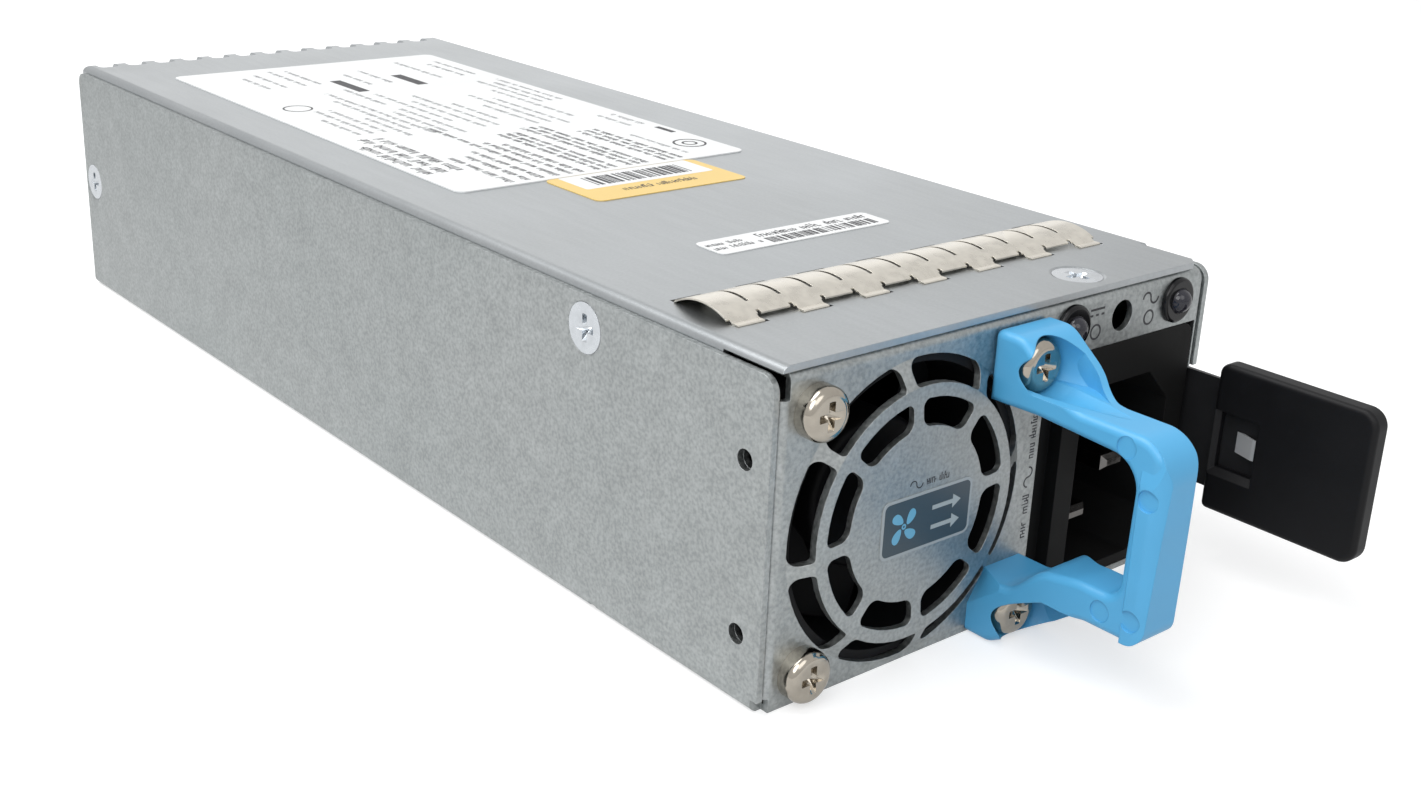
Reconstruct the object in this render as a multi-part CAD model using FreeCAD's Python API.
import FreeCAD, Part
import math
import os

# Hot swap server power supply: a sheet steel case with a folded front panel, a cooling fan behind
# an embossed guard, a mains inlet, a moulded pull handle, a sprung release latch and, inside, the
# board with its filter, converter and output stages and the card edge that plugs into the server.
#
# Millimetres. X runs to the right seen from the front, Y to the rear and Z up. While it is drawn,
# Y = 0 is the outer face of the front panel; save() then moves everything so that the origin is
# the middle of the base.

V = FreeCAD.Vector

# ------------------------------------------------------------------ driving dimensions
CASE_WIDTH = 73.5
CASE_LENGTH = 185.0
CASE_HEIGHT = 40.0
SHEET = 0.8              # steel sheet of case and cover
FOLD = 1.2               # outside radius of the folds
FIT = 0.05               # gap between pieces that are fitted together
WALL_TOP_DROP = 1.1      # how far the side walls end below the cover's top
WALL_CORNER = 2.0
WALL_SETBACK = 0.1       # side walls start this far behind the panel's face
FLANGE_DEPTH = 9.0       # folded flanges round the front panel
RELIEF = 1.3             # notches at the panel's left corners
RELIEF_HEIGHT = 3.1
RELIEF_BOTTOM = 1.7
STRIP_WIDTH = 1.95       # panel's right-hand strip, out to the case's right face

FAN_ROOM = 4.0           # case height over the fan's size
FAN_SIDE_GAP = 3.1       # case's left face to the fan
FAN_BASE_GAP = 1.05      # under the fan, down to the base's underside
FAN_SIZE = CASE_HEIGHT - FAN_ROOM
FAN_DEPTH = 28.0
FAN_CORNER = 2.5
FAN_PITCH = FAN_SIZE - 5.5                       # between mounting holes
FAN_X = -CASE_WIDTH / 2 + FAN_SIDE_GAP + FAN_SIZE / 2
FAN_Z = FAN_BASE_GAP + FAN_SIZE / 2
FAN_DUCT_WALL = 0.9
FAN_BORE = FAN_SIZE / 2 - FAN_DUCT_WALL          # radius of the air duct
FAN_HOLE = 1.45          # radius of the mounting holes
FAN_FLANGE = 4.0
FAN_BASE = 2.0           # thickness of the motor's base and its struts
FAN_STRUT_WIDTH = 2.2
TIP_GAP = 0.6
HUB_RADIUS = FAN_SIZE * 0.2556
HUB_LENGTH = 15.0
HUB_START = 5.0          # hub's nose behind the fan's front face
BLADE_COUNT = 7
BLADE_THICKNESS = 0.8
SHAFT_RADIUS = 1.0
SHAFT_RUNNING_GAP = 0.03
BEARING_RADIUS = 2.6
BEARING_WIDTH = 2.5
CUP_WALL = 1.0
MAGNET_THICKNESS = 0.9

GUARD_RADIUS = FAN_SIZE / 2 + 0.2
GUARD_RISE = 1.5         # the guard's ring and disc stand this far in front of the panel
GUARD_BEND = 0.3
RING_OUTER = GUARD_RADIUS * 0.8407
RING_INNER = GUARD_RADIUS * 0.7555
DISC_RADIUS = GUARD_RADIUS * 0.5714
SPOKE_WIDTH = 1.5
SPOKE_COUNT = 8
OUTER_SPOKE_TURN = 9.0   # degrees
INNER_SPOKE_TURN = 5.5

SCREW_RADIUS = 1.4       # M3 shank, thread left plain
PAN_HEAD_RADIUS = 3.1
PAN_HEAD_HEIGHT = 2.4
FLAT_HEAD_RADIUS = 3.1
FLAT_HEAD_HEIGHT = 1.5
FLAT_SCREW_LENGTH = 3.0
SCREW_HOLE_GAP = 0.25
CROSS_WIDTH = 0.9        # cross recess
CROSS_SPAN = 3.4
CROSS_DEPTH = 1.3

PAD_WIDTH = 8.7
PAD_MARGIN = 3.5         # pad's left face to the screw's axis
GRIP_WIDTH = 5.7
GRIP_DEPTH = 4.2
GRIP_LEAN = 0.7          # the grip's foot stands this much nearer the panel than its head
GRIP_SWELL = 0.3         # the grip's left face stands out from the legs' by this
SWELL_TOP = 27.0         # where the swelling begins to fade towards the upper leg
HANDLE_REACH = 25.0
HANDLE_SEAT = 2.6        # pad thickness under the screw heads
UPPER_PAD_TOP = 3.8      # above the upper screw's axis
UPPER_PAD_DEPTH = 4.0
UPPER_LEG_TOP = -2.2     # from the upper screw's axis
UPPER_LEG_UNDER = -5.1
UPPER_SHOULDER = 11.6    # where the shoulder has run down to the leg
LOWER_PAD_TOP = 4.1      # above the lower screw's axis
LOWER_LEG_TOP = 9.2
LOWER_LEG_UNDER = 4.7
LOWER_PAD_UNDER = -3.7
HEEL_Y = 3.4             # lower pad's underside, from the panel to its turn forwards
LOWER_SHOULDER = 5.6     # where the lower leg's top begins to climb
LOWER_CREST = 9.8        # where the climb ends
HANDLE_EDGE = 0.9        # rounding of the handle's edges
CORNER_TOP = 4.6         # rounding of the handle's outer corners
CORNER_FOOT = 2.2
POCKET_RADIUS = 3.3      # round each screw head
FLARE_RADIUS = 6.4       # the upper pocket's mouth
FLARE_START = 3.3
FLARE_END = 14.0
TROUGH_START = 7.0       # the pocket's floor runs out along the upper leg
TROUGH_END = 17.0
TROUGH_TIP = 2.2
SCOOP_RADIUS = 6.3       # the lower pocket's mouth
SCOOP_START = 3.2
SCOOP_END = 12.0
SCOOP_RUN_OUT = 16.5
POCKET_WALL = 1.1        # left standing to the right of the lower pocket
CORNER_CUT = (2.1, 3.3)  # lower pad's corner cut off beside the fan guard: along X and Z
CORNER_CUT_END = 5.5     # where this cut has run out along the leg
CORNER_CUT_IN = 0.7      # the cut moved in from the pad's left face, to clear the guard
EJECTOR_RADIUS = 1.25
EJECTOR_DEPTH = 0.15
LEG_MARKS = ((19.2, 30.4), (18.5, 10.8))         # ejector marks: (reach, Z)
GRIP_MARKS = ((22.8, 25.6), (22.6, 11.4))

INLET_X = CASE_WIDTH / 2 - 14.35                 # middle of the mains socket
INLET_Z = 14.55
INLET_OPENING_X = 17.2
INLET_OPENING_Z = 24.5
INLET_CHAMFER = 4.3
INLET_DEPTH = 16.0
INLET_RIGHT = CASE_WIDTH / 2 - 2.15
INLET_BOTTOM = 1.0
INLET_TOP = CASE_HEIGHT - 7.9                    # clear of the indicators
INLET_COLLAR_DEPTH = 3.0
INLET_STEP = 1.8
INLET_WALL = 1.6
INLET_BODY_DEPTH = 23.0
PIN_WIDTH = 4.0
PIN_THICKNESS = 2.0
EARTH_PIN_TIP = 2.0
LINE_PIN_TIP = 3.8
LINE_PIN_PITCH = 14.0
PIN_STEP = 4.0           # earth pin's offset from the line pins
TAB_LENGTH = 6.0

LATCH_SHEET = 0.55
LATCH_PIVOT_Y = 38.0
LATCH_BOTTOM = 10.4
LATCH_TOP = 25.2
LATCH_JOG_Y = 13.0
LATCH_FRONT_X = CASE_WIDTH / 2 - 0.6             # leaf's inner face where it leaves the case
LATCH_NOTCH_TOP = 25.8
LATCH_NOTCH_BOTTOM = 9.8
LATCH_NOTCH_LENGTH = 16.0
LATCH_ROOT_LENGTH = 13.0
TOOTH_HEIGHT = 0.9
TOOTH_Y = 6.0
TOOTH_LENGTH = 3.6
TOOTH_WIDTH = 7.0
TONGUE_WIDTH = 2.8       # leaf's tongue in the paddle's window
TONGUE_BEND = 0.9
LEAF_JOG = 2.0
PADDLE_LEFT = CASE_WIDTH / 2 - 2.35
PADDLE_RIGHT = CASE_WIDTH / 2 + 0.55
PADDLE_NEAR = -4.8
PADDLE_FAR = -26.6
PADDLE_BOTTOM = 8.2
PADDLE_TOP = 28.0
PADDLE_CORNER = 2.3
PADDLE_EDGE = 0.7
WINDOW_NEAR = -5.6       # paddle's window, along Y
WINDOW_FAR = -11.3
WINDOW_HEIGHT = 7.7
WINDOW_BEVEL = 0.9
LEAF_TIP = -21.0
RIVET_RADIUS = 1.1
RIVET_PITCH = 8.0
RIVET_RISE = 0.8

LED_Z = CASE_HEIGHT - 4.35
LED_RIGHT_X = CASE_WIDTH / 2 - 6.65
LED_HANDLE_GAP = 5.1     # handle's right face to the middle of the left indicator
BEZEL_RADIUS = 2.9
BEZEL_BODY_RADIUS = 2.35
BEZEL_RISE = 0.7
BEZEL_LENGTH = 5.0
LENS_RADIUS = 1.6
PANEL_HOLE_Z = CASE_HEIGHT - 4.5
PANEL_HOLE_RADIUS = 1.95

FINGER_COUNT = 13
FINGER_CENTRE_X = -1.15
FINGER_MARGIN = 5.8      # strip's ends to the case's sides
FINGER_PITCH = (CASE_WIDTH - 2 * FINGER_MARGIN) / FINGER_COUNT
FINGER_SLIT = 0.5
FINGER_SHEET = 0.2
FINGER_CREST = 1.5
FINGER_LIFT = 0.3        # front edge of the fingers without a toe, over the cover
FINGER_FRONT_Y = 13.3
FINGER_NOTCH_Y = 13.8    # end of the short notches in the front edge
FINGER_SLIT_Y = 15.4     # the slits run from here to the rear edge
FINGER_CREST_Y = 17.6
FINGER_REAR_Y = 22.2
TOE_FLAT_Y = 12.8        # the toes lie flat on the cover in front of this
TOE_FRONT_Y = 11.8
TOE_WIDTH = 3.8
TAB_WIDTH = 4.1
FRONT_SLOT = 0.6         # width of the slots along Y
REAR_SLOT = 0.9
SLOT_WIDTH = 4.5

COVER_FLANGE = 9.5
COVER_SETBACK = 1.8      # right edge of the cover at its front
COVER_CHAMFER = 1.2
COVER_FRONT_SCREW = (16.0, 4.7)
SIDE_SCREWS = ((32.6, CASE_HEIGHT - 5.1), (CASE_LENGTH - 3.4, 19.75))     # (Y, Z) on each wall
DIMPLE_RADIUS = 3.4      # shallow dimples round the countersunk heads
DIMPLE_DEPTH = 0.12
FOOT_NOTCH = (29.4, 1.6, 0.7)                    # in the left wall's foot: Y, width, height
WALL_HOLES = ((4.0, 28.75), (4.0, 8.5))
WALL_HOLE_RADIUS = 1.2
VENT_COUNT = 13
VENT_PITCH = (CASE_WIDTH - 5.38) / VENT_COUNT
VENT_WIDTH = 3.4
VENT_CENTRE_X = -0.8
VENT_TOP_REACH = 3.6
VENT_BOTTOM = 15.0
REAR_FLANGE_BOTTOM = 11.5

BOARD_BOTTOM = 6.0
BOARD_THICKNESS = 1.6
BOARD_HALF_WIDTH = CASE_WIDTH / 2 - 3.75
BOARD_FRONT = 31.5
TONGUE_HALF_WIDTH = CASE_WIDTH / 2 - 8.25
TONGUE_LENGTH = 9.5
CONTACT_COUNT = 25
CONTACT_PITCH = 2.2
CONTACT_WIDTH = 1.5
CONTACT_LENGTH = 7.0
CONTACT_THICKNESS = 0.05
STANDOFF_RADIUS = 2.6
STANDOFF_X = CASE_WIDTH / 2 - 7.25
STANDOFF_YS = (36.0, CASE_LENGTH - 9.0)
STANDOFF_PLACES = [(x, y) for y in STANDOFF_YS for x in (-STANDOFF_X, STANDOFF_X)]
INSULATION = 0.4
KEY_X = 9.0              # keying notch in the card edge
KEY_WIDTH = 1.6
KEY_DEPTH = 7.0

CHOKE_X = CASE_WIDTH / 2 - 15.75
CHOKE_YS = (48.2, 68.8)
CHOKE_RADIUS = 8.5
CHOKE_BORE = 4.5
CHOKE_HEIGHT = 9.0
CHOKE_FOOT = 2.0         # winding under and over the core
WIRE_LAYER = 1.6         # thickness of a choke's winding
CHOKE_SPLIT = 5.0        # gap between a choke's two windings
RELAY_LEFT = FAN_X - 6.35                        # beside the fan's connector
RELAY_WIDTH = 10.0
RELAY_Y = 35.0
RELAY_LENGTH = 20.0
RELAY_HEIGHT = 15.5
FUSE_Y = 35.5
FUSE_LENGTH = 20.0
FUSE_RADIUS = 2.6
FUSE_CLIP = 4.0
FUSE_CLIP_SHEET = 0.2
X_CAPACITOR_YS = (35.0, 57.0)
X_CAPACITOR_WIDTH = 6.5
X_CAPACITOR_LENGTH = 18.0
X_CAPACITOR_HEIGHT = 15.0
FUSE_WIDTH = 2 * (FUSE_RADIUS + FUSE_CLIP_SHEET)
# the fuse and the film capacitors share the spare room between relay and chokes
SPARE_ROOM = (CHOKE_X - CHOKE_RADIUS - WIRE_LAYER - RELAY_LEFT - RELAY_WIDTH
              - FUSE_WIDTH - X_CAPACITOR_WIDTH)
FUSE_X = RELAY_LEFT + RELAY_WIDTH + SPARE_ROOM * 3.2 / 10.8 + FUSE_WIDTH / 2
X_CAPACITOR_LEFT = FUSE_X + FUSE_WIDTH / 2 + SPARE_ROOM * 6.2 / 10.8
Y_CAPACITOR_XS = (CHOKE_X - 7.0, CHOKE_X + 2.0)
Y_CAPACITOR_Y = 79.0
Y_CAPACITOR_RADIUS = 3.6
Y_CAPACITOR_THICKNESS = 3.0
Y_CAPACITOR_RISE = 4.6   # disc's middle over the board
STANDBY_LEFT = CHOKE_X - 11.0
STANDBY_WIDTH = 16.0
STANDBY_Y = 87.0
STANDBY_LENGTH = 14.0
STANDBY_HEIGHT = 15.0
SINK_X = -CASE_WIDTH / 2 + 10.75
SINK_PLATE = 2.4
SINK_FRONT = 60.0
SINK_BACK = 108.0
SINK_TOP = CASE_HEIGHT - 4.0
FIN_REACH = 6.5
FIN_THICKNESS = 1.2
PFC_X = -5.0
PFC_Y = 92.0
PFC_HALF_WIDTH = CASE_WIDTH / 2 - 24.75
PFC_HALF_LENGTH = 14.0
PFC_HEIGHT = CASE_HEIGHT - 13.0
PFC_LEG = 4.5            # the core's outer legs
CAPACITOR_RADIUS = (CASE_HEIGHT - 11.2) / 2
CAPACITOR_X = CASE_WIDTH / 2 - 6.35 - CAPACITOR_RADIUS
CAPACITOR_Y = 108.0
CAPACITOR_LENGTH = CASE_LENGTH - CAPACITOR_Y - 37.0
OUTPUT_SINK_X = -CASE_WIDTH / 2 + 5.75
OUTPUT_SINK_Y = CASE_LENGTH - 39.0
OUTPUT_SINK_LENGTH = 24.0
# the transformer fills the room between left wall and capacitor, boost choke and output heatsink
TRANSFORMER_LEFT = -CASE_WIDTH / 2 + 5.55
TRANSFORMER_RIGHT = CAPACITOR_X - CAPACITOR_RADIUS - 1.8
TRANSFORMER_ROOM = OUTPUT_SINK_Y - PFC_Y - PFC_HALF_LENGTH
TRANSFORMER_X = (TRANSFORMER_LEFT + TRANSFORMER_RIGHT) / 2
TRANSFORMER_Y = OUTPUT_SINK_Y - TRANSFORMER_ROOM / 2
TRANSFORMER_HALF_WIDTH = (TRANSFORMER_RIGHT - TRANSFORMER_LEFT) / 2
TRANSFORMER_HALF_DEPTH = TRANSFORMER_ROOM * 0.2
TRANSFORMER_HEIGHT = CASE_HEIGHT - 11.5
WINDING_HALF_DEPTH = TRANSFORMER_ROOM * 0.3125
MIDDLE_LEG = 5.4         # half of the core's middle leg
OUTER_LEG = 3.6
WINDING_FIT = 0.1        # between winding and core
OUTPUT_CANS_Y = CASE_LENGTH - 32.0
OUTPUT_CAN_RADIUS = 3.9
OUTPUT_CAN_HEIGHT = 12.0
OUTPUT_CAN_PITCH = 8.6
OUTPUT_CANS_X = -17.6
OUTPUT_SWITCH_Y = CASE_LENGTH - 18.5
BUSBAR_Y = CASE_LENGTH - 11.0
BUSBAR_THICKNESS = 3.0
BUSBAR_LENGTH = 18.0
BUSBAR_HEIGHT = 8.0
BUSBAR_GAP = 2.0         # each bar's inner end to the middle of the case
CONTROL_X = CASE_WIDTH / 2 - 5.55
CONTROL_CARD = 1.2
CONTROL_FRONT = CASE_LENGTH - 89.0
CONTROL_BACK = CASE_LENGTH - 35.0
CONTROL_TOP = CASE_HEIGHT - 6.0
CHIP_HEIGHT = 1.4
CHIP_Z = CASE_HEIGHT / 2
CHIPS = ((47.0, 7.0), (32.0, 9.0), (16.0, 7.0), (5.0, 5.0))     # (behind the card's front, size)

FAN_WIRE_RADIUS = 0.7
FAN_WIRE_PITCH = 1.5
FAN_WIRE_COUNT = 4
FAN_WIRE_X = FAN_X - 13.25
FAN_WIRE_Z = CASE_HEIGHT - 4.8
FAN_WIRE_BEND = 3.0
FAN_HEADER_Y = 45.5
FAN_HEADER_HEIGHT = 6.0
INLET_WIRE_RADIUS = 1.2
INLET_WIRE_BEND = 2.2
LUG_WIDTH = 5.0
LUG_SHEET = 0.8

HALF = CASE_WIDTH / 2
INSIDE = HALF - SHEET
WALL_TOP = CASE_HEIGHT - WALL_TOP_DROP
COVER_UNDER = CASE_HEIGHT - SHEET
PANEL_HALF = INSIDE - FIT
BOARD_TOP = BOARD_BOTTOM + BOARD_THICKNESS
FAN_FRONT = SHEET
FAN_BACK = FAN_FRONT + FAN_DEPTH
TUBE_RADIUS = BEARING_RADIUS + 0.8               # sleeve that carries the bearings
HUB_NOSE = FAN_FRONT + HUB_START
HUB_BACK = HUB_NOSE + HUB_LENGTH
PITCH_HALF = FAN_PITCH / 2
STRIP_EDGE = HALF - STRIP_WIDTH
SCREW_X = FAN_X + PITCH_HALF                     # the handle's screws
UPPER_SCREW_Z = FAN_Z + PITCH_HALF
LOWER_SCREW_Z = FAN_Z - PITCH_HALF
HANDLE_LEFT = SCREW_X - PAD_MARGIN
HANDLE_RIGHT = HANDLE_LEFT + PAD_WIDTH
LED_XS = (HANDLE_RIGHT + LED_HANDLE_GAP, LED_RIGHT_X)
PANEL_HOLE_X = LED_XS[0] + (LED_XS[1] - LED_XS[0]) * 9.5 / 20.2
GRIP_RIGHT = HANDLE_LEFT + GRIP_WIDTH
SOCKET_LEFT = INLET_X - INLET_OPENING_X / 2 - INLET_WALL
FAN_RIGHT = FAN_X + FAN_SIZE / 2
INLET_LEFT = FAN_RIGHT + 0.39 * (SOCKET_LEFT - FAN_RIGHT)
INLET_COLLAR_LEFT = FAN_RIGHT + 0.817 * (SOCKET_LEFT - FAN_RIGHT)


# ------------------------------------------------------------------ drawing helpers
def box(x0, x1, y0, y1, z0, z1):
    return Part.makeBox(x1 - x0, y1 - y0, z1 - z0, V(x0, y0, z0))


def rod(radius, start, end):
    start, end = V(*start), V(*end)
    return Part.makeCylinder(radius, (end - start).Length, start, end - start)


def cone(radius_start, radius_end, start, end):
    start, end = V(*start), V(*end)
    return Part.makeCone(radius_start, radius_end, (end - start).Length, start, end - start)


def in_plane(plane, u, v, offset):
    return {"XY": V(u, v, offset), "YZ": V(offset, u, v), "XZ": V(u, offset, v)}[plane]


def rounded_face(plane, offset, corners):
    """Flat face; each corner is (u, v, radius of its rounding)."""
    points = [in_plane(plane, u, v, offset) for u, v, _ in corners]
    edges = []
    first_entry = last_exit = None
    for i, (_, _, radius) in enumerate(corners):
        here = points[i]
        back = (points[i - 1] - here).normalize()
        ahead = (points[(i + 1) % len(points)] - here).normalize()
        entry = leave = here
        if radius > 0:
            half_angle = back.getAngle(ahead) / 2
            reach = radius / math.tan(half_angle)
            entry, leave = here + back * reach, here + ahead * reach
            depth = radius / math.sin(half_angle) - radius
            middle = here + (back + ahead).normalize() * depth
        if last_exit is None:
            first_entry = entry
        else:
            edges.append(Part.makeLine(last_exit, entry))
        if radius > 0:
            edges.append(Part.Arc(entry, middle, leave).toShape())
        last_exit = leave
    edges.append(Part.makeLine(last_exit, first_entry))
    return Part.Face(Part.Wire(edges))


def rounded_box(x0, x1, y0, y1, z0, z1, radius, axis="Z"):
    """Block whose four edges along one axis are rounded."""
    if axis == "Z":
        corners = [(x0, y0, radius), (x1, y0, radius), (x1, y1, radius), (x0, y1, radius)]
        return rounded_face("XY", z0, corners).extrude(V(0, 0, z1 - z0))
    if axis == "Y":
        corners = [(x0, z0, radius), (x1, z0, radius), (x1, z1, radius), (x0, z1, radius)]
        return rounded_face("XZ", y0, corners).extrude(V(0, y1 - y0, 0))
    corners = [(y0, z0, radius), (y1, z0, radius), (y1, z1, radius), (y0, z1, radius)]
    return rounded_face("YZ", x0, corners).extrude(V(x1 - x0, 0, 0))


def joined(shapes):
    """One solid from pieces that touch or overlap."""
    result = shapes[0]
    if len(shapes) > 1:
        result = result.fuse(shapes[1:])
    return result.removeSplitter()


def group(shapes):
    return Part.makeCompound(shapes)


def mirrored(shape):
    return shape.mirror(V(0, 0, 0), V(1, 0, 0))


def turned(shape, degrees, centre, axis):
    copy = shape.copy()
    copy.rotate(V(*centre), V(*axis), degrees)
    return copy


def tube(radius, points, bend):
    """Wire of round section along straight runs joined by arcs."""
    places = [V(*p) for p in points]
    edges = []
    start = places[0]
    for i in range(1, len(places) - 1):
        back = (places[i - 1] - places[i]).normalize()
        ahead = (places[i + 1] - places[i]).normalize()
        half_angle = back.getAngle(ahead) / 2
        reach = bend / math.tan(half_angle)
        entry, leave = places[i] + back * reach, places[i] + ahead * reach
        middle = places[i] + (back + ahead).normalize() * (bend / math.sin(half_angle) - bend)
        edges += [Part.makeLine(start, entry), Part.Arc(entry, middle, leave).toShape()]
        start = leave
    edges.append(Part.makeLine(start, places[-1]))
    circle = Part.Wire(Part.makeCircle(radius, places[0], places[1] - places[0]))
    return Part.Wire(edges).makePipeShell([circle], True, False)


# ------------------------------------------------------------------ screws
def cross_recess(x, y, z):
    """Cutter for a cross recess in a head that faces -Y, its face at (x, y, z)."""
    half, width = CROSS_SPAN / 2, CROSS_WIDTH / 2
    arms = [box(x - half, x + half, y, y + CROSS_DEPTH, z - width, z + width),
            box(x - width, x + width, y, y + CROSS_DEPTH, z - half, z + half)]
    taper = cone(CROSS_SPAN / 2, CROSS_WIDTH / 2, (x, y - 0.01, z), (x, y + CROSS_DEPTH, z))
    return joined(arms).common(taper)


def pan_screw(x, seat, z, length):
    """Pan head screw pointing to +Y, its head seated at Y = seat."""
    face = seat - PAN_HEAD_HEIGHT
    head = rod(PAN_HEAD_RADIUS, (x, face, z), (x, seat, z))
    rim = [e for e in head.Edges if abs(e.CenterOfMass.y - face) < 1e-6 and e.Closed]
    head = head.makeFillet(PAN_HEAD_HEIGHT * 0.45, rim)
    shank = rod(SCREW_RADIUS, (x, seat, z), (x, seat + length, z))
    return joined([head, shank]).cut(cross_recess(x, face, z))


def flat_screw(length):
    """Countersunk screw pointing to +Y, its face sunk in a dimple at the origin."""
    face, neck = DIMPLE_DEPTH, DIMPLE_DEPTH + FLAT_HEAD_HEIGHT
    head = cone(FLAT_HEAD_RADIUS, SCREW_RADIUS, (0, face, 0), (0, neck, 0))
    shank = rod(SCREW_RADIUS, (0, neck, 0), (0, length, 0))
    return joined([head, shank]).cut(cross_recess(0, face, 0))


def flat_screw_hole(length):
    """Room for a countersunk screw, with its gap all round and the dimple over it."""
    head, shank = FLAT_HEAD_RADIUS + FIT, SCREW_RADIUS + FIT
    face, neck = DIMPLE_DEPTH, DIMPLE_DEPTH + FLAT_HEAD_HEIGHT
    dimple = cone(DIMPLE_RADIUS, head, (0, 0, 0), (0, face, 0))
    above = rod(DIMPLE_RADIUS, (0, -1, 0), (0, 0, 0))
    mouth = cone(head, shank, (0, face, 0), (0, neck, 0))
    return joined([above, dimple, mouth, rod(shank, (0, neck, 0), (0, length, 0))])


def in_left_wall(shape, y, z):
    """From the origin, pointing +Y, to the left wall, pointing +X."""
    moved = turned(shape, -90, (0, 0, 0), (0, 0, 1))
    moved.translate(V(-HALF, y, z))
    return moved


def in_cover(shape, x, y):
    """From the origin, pointing +Y, to the cover, pointing down."""
    moved = turned(shape, -90, (0, 0, 0), (1, 0, 0))
    moved.translate(V(x, y, CASE_HEIGHT))
    return moved


def at_case_screws(shape):
    """Copies of a screw, or of its hole, at every countersunk place of the case."""
    left = [in_left_wall(shape, y, z) for y, z in SIDE_SCREWS]
    return left + [mirrored(s) for s in left] + [in_cover(shape, *COVER_FRONT_SCREW)]


# ------------------------------------------------------------------ case
def annular_slot(inner, outer, spoke_turn, inner_round, outer_round):
    """Cutter for one opening of the fan guard between two spokes, round the fan's axis."""
    centre = V(FAN_X, 0, FAN_Z)
    step = math.radians(360 / SPOKE_COUNT)
    first = math.radians(spoke_turn)

    def place(radius, angle):
        return centre + V(math.cos(angle), 0, math.sin(angle)) * radius + V(0, -GUARD_RISE - 1, 0)

    def spoke_side(radius, sign):
        return sign * math.asin(SPOKE_WIDTH / 2 / radius)

    start_in, start_out = first + spoke_side(inner, 1), first + spoke_side(outer, 1)
    end_in, end_out = first + step + spoke_side(inner, -1), first + step + spoke_side(outer, -1)
    middle = first + step / 2
    edges = [Part.makeLine(place(inner, start_in), place(outer, start_out)),
             Part.Arc(place(outer, start_out), place(outer, middle), place(outer, end_out)).toShape(),
             Part.makeLine(place(outer, end_out), place(inner, end_in)),
             Part.Arc(place(inner, end_in), place(inner, middle), place(inner, start_in)).toShape()]
    slot = Part.Face(Part.Wire(edges)).extrude(V(0, GUARD_RISE + SHEET + 2, 0))

    def corner_edges(low, high):
        found = []
        for edge in slot.Edges:
            middle_point = edge.CenterOfMass
            radius = math.hypot(middle_point.x - FAN_X, middle_point.z - FAN_Z)
            along_y = abs(edge.Vertexes[0].Point.y - edge.Vertexes[-1].Point.y) > 1
            if along_y and low < radius < high:
                found.append(edge)
        return found

    half_way = (inner + outer) / 2
    slot = slot.makeFillet(inner_round, corner_edges(0, half_way))
    return slot.makeFillet(outer_round, corner_edges(half_way, outer + 1))


def fan_guard():
    """Embossed dish of the guard, and the openings to cut through it."""
    rise, ring = -GUARD_RISE, RING_OUTER
    foot, bend = GUARD_RADIUS, GUARD_BEND
    outline = [(0, rise), (ring, rise), (foot, 0), (foot + bend, 0), (foot + bend, SHEET),
               (foot - bend, SHEET), (ring - bend, rise + SHEET), (0, rise + SHEET)]
    points = [V(FAN_X + r, y, FAN_Z) for r, y in outline]
    face = Part.Face(Part.makePolygon(points + points[:1]))
    dish = face.revolve(V(FAN_X, 0, FAN_Z), V(0, 1, 0), 360)
    outer = annular_slot(RING_OUTER, GUARD_RADIUS, OUTER_SPOKE_TURN, 0.6, 1.3)
    inner = annular_slot(DISC_RADIUS, RING_INNER, INNER_SPOKE_TURN, 1.5, 0.9)
    slots = []
    for i in range(SPOKE_COUNT):
        for slot in (outer, inner):
            slots.append(turned(slot, i * 360 / SPOKE_COUNT, (FAN_X, 0, FAN_Z), (0, 1, 0)))
    return dish, slots


def lower_relief():
    """Notch where the base, the panel and the left wall are folded from one corner."""
    return box(-HALF - 1, -PANEL_HALF + SHEET, -1, FOLD, -1, RELIEF_BOTTOM)


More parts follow.
